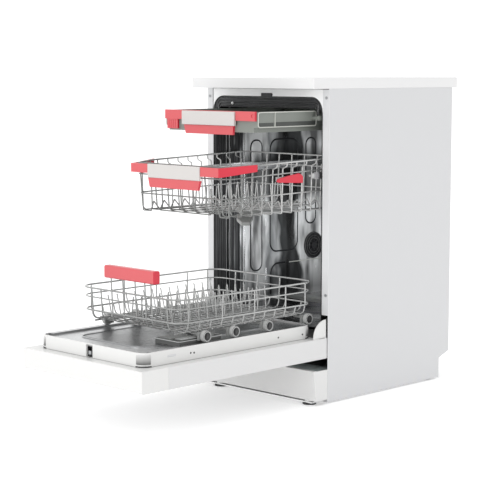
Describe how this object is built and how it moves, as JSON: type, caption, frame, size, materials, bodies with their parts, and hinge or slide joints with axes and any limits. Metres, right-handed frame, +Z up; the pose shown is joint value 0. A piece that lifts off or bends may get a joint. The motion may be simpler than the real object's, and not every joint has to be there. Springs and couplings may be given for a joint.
{
  "type": "dishwasher",
  "caption": "Slim freestanding dishwasher with a drop-down door, two wire baskets on wheels and rails, and a cutlery tray.",
  "frame": {"origin": "on the floor, at the centre of the whole footprint with the door open and the racks out", "axes": "+Z up, +Y towards the rear of the cabinet, +X to its right when seen from the front"},
  "size_m": [0.448, 1.179, 0.845],
  "materials": {
    "white_enamel": "smooth white stove enamel",
    "white_plastic": "satin white moulding",
    "white_board": "white laminate board",
    "tub_steel": "bright drawn stainless steel",
    "liner_steel": "brushed stainless steel",
    "zinc_steel": "zinc plated steel",
    "rail_steel": "polished stainless steel",
    "rubber_black": "matt black rubber",
    "black_plastic": "fine grained black moulding",
    "grey_base": "dark grey moulding",
    "grey_plastic": "mid grey moulding",
    "light_grey_plastic": "light grey moulding",
    "coral_plastic": "satin coral red moulding",
    "grey_wire": "grey nylon coated wire",
    "pump_plastic": "dark moulding",
    "hinge_steel": "zinc plated steel"
  },
  "bodies": {
    "root": {"worktop": "white_board", "side_panel_left": "white_enamel", "side_panel_right": "white_enamel", "back_panel": "zinc_steel", "front_frame": "white_enamel", "base_tray": "grey_base", "leveling_feet": "black_plastic", "kick_plate": "white_enamel", "tub": "tub_steel", "tub_gasket": "rubber_black", "door_striker": "black_plastic", "vent_cap": "black_plastic", "sump": "pump_plastic", "filter_plate": "liner_steel", "water_softener": "light_grey_plastic", "feed_duct": "grey_plastic", "circulation_pump": "pump_plastic", "drain_pump": "pump_plastic", "inlet_valve": "light_grey_plastic", "drain_spigot": "black_plastic", "basket_rails_outer": "rail_steel", "cutlery_rails_outer": "rail_steel", "hinge_brackets": "hinge_steel", "door_springs": "zinc_steel", "cabinet_screws": "zinc_steel"},
    "filter": {"filter_cylinder": "light_grey_plastic"},
    "lower_arm": {"lower_spray_arm": "grey_plastic"},
    "salt": {"salt_cap": "grey_plastic"},
    "rails_mid": {"basket_rails_mid": "rail_steel"},
    "door": {"door_outer_panel": "white_enamel", "door_inner_box": "white_plastic", "door_liner": "liner_steel", "control_fascia": "white_plastic", "latch_housing": "black_plastic", "hinge_arms": "hinge_steel", "dispenser_body": "grey_plastic"},
    "power": {"power_button": "grey_plastic"},
    "start": {"start_button": "grey_plastic"},
    "program": {"program_button": "grey_plastic"},
    "latch": {"door_latch": "zinc_steel"},
    "detergent_lid": {"dispenser_lid": "light_grey_plastic"},
    "rinse_cap": {"rinse_aid_cap": "grey_plastic"},
    "lower_basket": {"lower_basket_wires": "grey_wire", "lower_basket_handle": "coral_plastic", "wheel_carriers": "grey_plastic"},
    "wheels_1": {"wheel_pair_1": "light_grey_plastic"},
    "wheels_2": {"wheel_pair_2": "light_grey_plastic"},
    "wheels_3": {"wheel_pair_3": "light_grey_plastic"},
    "wheels_4": {"wheel_pair_4": "light_grey_plastic"},
    "tines_left": {"folding_tines_left": "grey_wire"},
    "tines_right": {"folding_tines_right": "grey_wire"},
    "upper_basket": {"upper_basket_wires": "grey_wire", "upper_basket_handle": "coral_plastic", "upper_handle_insert": "white_plastic", "upper_feed_pipe": "grey_plastic"},
    "levers": {"height_levers": "coral_plastic"},
    "upper_arm": {"upper_spray_arm": "grey_plastic"},
    "cutlery": {"cutlery_tray": "grey_plastic", "cutlery_handle": "coral_plastic", "cutlery_handle_insert": "white_plastic"}
  },
  "joints": [
    {"name": "door_hinge", "type": "hinge", "parent": "root", "child": "door", "pos_m": [0, 0.048, 0.1755], "axis": [1, 0, 0], "range_deg": [-20, 0]},
    {"name": "lower_basket_slide", "type": "slide", "parent": "door", "child": "lower_basket", "axis": [0, 1, 0], "range_m": [0, 0.522]},
    {"name": "wheel_spin_1", "type": "hinge", "parent": "lower_basket", "child": "wheels_1", "pos_m": [0, -0.3485, 0.2235], "axis": [-1, 0, 0], "continuous": true},
    {"name": "wheel_spin_2", "type": "hinge", "parent": "lower_basket", "child": "wheels_2", "pos_m": [0, -0.2505, 0.2235], "axis": [-1, 0, 0], "continuous": true},
    {"name": "wheel_spin_3", "type": "hinge", "parent": "lower_basket", "child": "wheels_3", "pos_m": [0, -0.1315, 0.2235], "axis": [-1, 0, 0], "continuous": true},
    {"name": "wheel_spin_4", "type": "hinge", "parent": "lower_basket", "child": "wheels_4", "pos_m": [0, 0.0175, 0.2235], "axis": [-1, 0, 0], "continuous": true},
    {"name": "tines_left_fold", "type": "hinge", "parent": "lower_basket", "child": "tines_left", "pos_m": [-0.058, -0.1785, 0.246], "axis": [0, -1, 0], "range_deg": [0, 78]},
    {"name": "tines_right_fold", "type": "hinge", "parent": "lower_basket", "child": "tines_right", "pos_m": [0.092, -0.1785, 0.246], "axis": [0, 1, 0], "range_deg": [0, 78]},
    {"name": "upper_basket_slide", "type": "slide", "parent": "root", "child": "upper_basket", "axis": [0, 1, 0], "range_m": [0, 0.38]},
    {"name": "rails_mid_slide", "type": "slide", "parent": "root", "child": "rails_mid", "axis": [0, 1, 0], "range_m": [0, 0.19]},
    {"name": "lever_lift", "type": "hinge", "parent": "upper_basket", "child": "levers", "pos_m": [0, -0.0125, 0.59], "axis": [-1, 0, 0], "range_deg": [0, 10]},
    {"name": "upper_arm_spin", "type": "hinge", "parent": "upper_basket", "child": "upper_arm", "pos_m": [0, -0.0285, 0.478], "axis": [0, 0, 1], "continuous": true},
    {"name": "cutlery_slide", "type": "slide", "parent": "root", "child": "cutlery", "axis": [0, 1, 0], "range_m": [-0.12, 0.255]},
    {"name": "lower_arm_spin", "type": "hinge", "parent": "root", "child": "lower_arm", "pos_m": [0, 0.3165, 0.216], "axis": [0, 0, 1], "continuous": true},
    {"name": "filter_turn", "type": "hinge", "parent": "root", "child": "filter", "pos_m": [0.05, 0.3165, 0.196], "axis": [0, 0, 1], "range_deg": [0, 90]},
    {"name": "salt_cap_turn", "type": "hinge", "parent": "root", "child": "salt", "pos_m": [-0.125, 0.4715, 0.203], "axis": [0, 0, 1], "range_deg": [0, 90]},
    {"name": "power_press", "type": "slide", "parent": "door", "child": "power", "axis": [0, 0, 1], "range_m": [0, 0.002], "stiffness_N_per_m": 600},
    {"name": "start_press", "type": "slide", "parent": "door", "child": "start", "axis": [0, 0, 1], "range_m": [0, 0.002], "stiffness_N_per_m": 600},
    {"name": "program_press", "type": "slide", "parent": "door", "child": "program", "axis": [0, 0, 1], "range_m": [0, 0.002], "stiffness_N_per_m": 600},
    {"name": "latch_turn", "type": "hinge", "parent": "door", "child": "latch", "pos_m": [0, -0.5305, 0.184], "axis": [1, 0, 0], "range_deg": [0, 6], "stiffness_Nm_per_rad": 0.3},
    {"name": "detergent_lid_slide", "type": "slide", "parent": "door", "child": "detergent_lid", "axis": [0, 1, 0], "range_m": [0, 0.058]},
    {"name": "rinse_cap_turn", "type": "hinge", "parent": "door", "child": "rinse_cap", "pos_m": [0.153, -0.3085, 0.213], "axis": [0, 0, 1], "range_deg": [0, 90]}
  ],
  "couplings": [
    {"joint": "wheel_spin_1", "follows": "lower_basket_slide", "rad_per_m": 70.422},
    {"joint": "wheel_spin_2", "follows": "lower_basket_slide", "rad_per_m": 70.422},
    {"joint": "wheel_spin_3", "follows": "lower_basket_slide", "rad_per_m": 70.422},
    {"joint": "wheel_spin_4", "follows": "lower_basket_slide", "rad_per_m": 70.422},
    {"joint": "rails_mid_slide", "follows": "upper_basket_slide", "ratio": 0.5}
  ]
}
